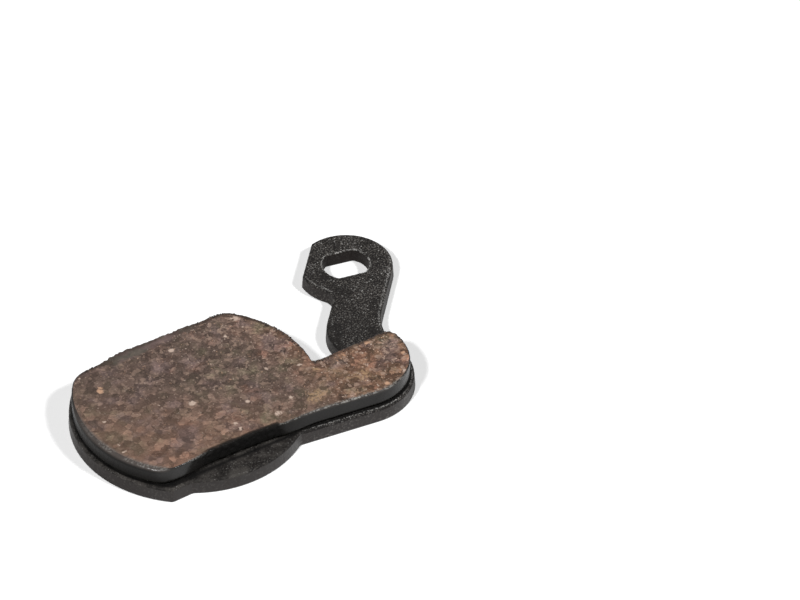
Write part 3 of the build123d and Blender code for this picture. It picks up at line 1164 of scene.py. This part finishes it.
def light_room(settings):
    """Dim even room light and a softbox on each side of the view."""
    world = bpy.data.worlds.new("studio")
    bpy.context.scene.world = world
    world.use_nodes = True
    world.node_tree.nodes.clear()
    graph = Graph(world.node_tree)
    strength = settings.room_level + seen_rays(graph) * (1 - settings.room_level)
    shine = graph.node("ShaderNodeBackground", None, {"Strength": strength})
    graph.node("ShaderNodeOutputWorld", None, {"Surface": shine})
    softboxes = [
        ("left_softbox", settings.left_place, settings.left_level),
        ("right_softbox", settings.right_place, settings.right_level),
    ]
    for name, place, level in softboxes:
        lamp = bpy.data.lights.new(name, "AREA")
        lamp.shape = "SQUARE"
        lamp.size = settings.softbox
        stand = bpy.data.objects.new(name, lamp)
        stand.location = from_view(settings, *place)
        stand.rotation_euler = (-stand.location).to_track_quat("-Z", "Y").to_euler()
        # The power that gives level paper at the origin this light, from this far and this high
        lamp.energy = level * math.pi**2 * stand.location.length**3 / stand.location.z
        bpy.context.scene.collection.objects.link(stand)


def add_camera(settings):
    """The camera, at the photograph's angle."""
    lens = bpy.data.cameras.new("camera")
    lens.lens = settings.focal / MM
    lens.clip_start = 10 * MM
    camera = bpy.data.objects.new("camera", lens)
    view = from_view(settings, 0, math.cos(settings.pitch), -math.sin(settings.pitch))
    camera.location = Vector(settings.aim) - view * settings.distance
    turn = view.to_track_quat("-Z", "Y").to_matrix() @ Matrix.Rotation(settings.roll, 3, "Z")
    camera.rotation_euler = turn.to_euler()
    bpy.context.scene.collection.objects.link(camera)
    bpy.context.scene.camera = camera


class PAD_OT_backing_plate(bpy.types.Operator):
    """Builds the plate with its granular coat, sheared sides and painted back"""

    bl_idname = "pad.backing_plate"
    bl_label = "Backing Plate"

    def execute(self, context):
        settings = context.scene.pad_plate
        materials = [coat_material(settings), side_material(settings), paint_material(settings)]
        sizes = {"Grain": settings.coat_grain, "Relief": settings.coat_relief}
        blank = plate_shell(settings).mesh("plate_blank")
        plate = grown("coated_plate", blank, coat_tree(materials), sizes)
        dress(plate, PLATE_NODE)
        return {"FINISHED"}


class PAD_OT_friction_block(bpy.types.Operator):
    """Builds the friction block with its ground face, moulded walls and key ends"""

    bl_idname = "pad.friction_block"
    bl_label = "Friction Block"

    def execute(self, context):
        settings = context.scene.pad_block
        materials = [ground_face_material(settings), wall_material(settings), key_material(settings)]
        tree = compound_tree(materials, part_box(PLATE_NODE)[1].z)
        sizes = {
            "Grain": settings.grain,
            "Relief": settings.relief,
            "Burr Reach": settings.burr_reach,
            "Chip": settings.chip,
        }
        blank = block_shell(settings).mesh("block_blank")
        block = grown("friction_block", blank, tree, sizes)
        dress(block, BLOCK_NODE)
        return {"FINISHED"}


class PAD_OT_edge_crumbs(bpy.types.Operator):
    """Scatters crumbs over the friction block's loose edges"""

    bl_idname = "pad.edge_crumbs"
    bl_label = "Edge Crumbs"

    def execute(self, context):
        settings = context.scene.pad_crumbs
        block = bpy.data.objects["friction_block"].data
        tree = crumb_tree(crumb_material(settings), settings.seed)
        sizes = {"Crumb": settings.crumb, "Density": settings.density}
        dress(grown("edge_crumbs", block, tree, sizes))
        return {"FINISHED"}


class PAD_OT_stage(bpy.types.Operator):
    """Sets the floor, the lights and the camera"""

    bl_idname = "pad.stage"
    bl_label = "Stage"

    def execute(self, context):
        settings = context.scene.pad_stage
        add_floor(settings)
        light_room(settings)
        add_camera(settings)
        context.scene.view_settings.view_transform = "Standard"
        return {"FINISHED"}


class PAD_PT_sidebar(bpy.types.Panel):
    """Lists the pad's pieces and their settings"""

    bl_label = "Brake Pad"
    bl_idname = "PAD_PT_sidebar"
    bl_space_type = "VIEW_3D"
    bl_region_type = "UI"
    bl_category = "Brake Pad"

    def draw(self, context):
        for operator, group in STEPS:
            box = self.layout.box()
            box.operator(operator.bl_idname)
            settings = getattr(context.scene, group)
            for name in settings.__annotations__:
                box.prop(settings, name)


GROUPS = {
    "pad_plate": PlateSettings,
    "pad_block": BlockSettings,
    "pad_crumbs": CrumbSettings,
    "pad_stage": StageSettings,
}
STEPS = [
    (PAD_OT_backing_plate, "pad_plate"),
    (PAD_OT_friction_block, "pad_block"),
    (PAD_OT_edge_crumbs, "pad_crumbs"),
    (PAD_OT_stage, "pad_stage"),
]
CLASSES = [*GROUPS.values(), *(operator for operator, _ in STEPS), PAD_PT_sidebar]


def register():
    for entry in CLASSES:
        bpy.utils.register_class(entry)
    for name, group in GROUPS.items():
        setattr(bpy.types.Scene, name, PointerProperty(type=group))


def unregister():
    for name in GROUPS:
        delattr(bpy.types.Scene, name)
    for entry in reversed(CLASSES):
        bpy.utils.unregister_class(entry)


def main():
    register()
    bpy.ops.pad.backing_plate()
    bpy.ops.pad.friction_block()
    bpy.ops.pad.edge_crumbs()
    bpy.ops.pad.stage()


if __name__ == "__main__":
    main()
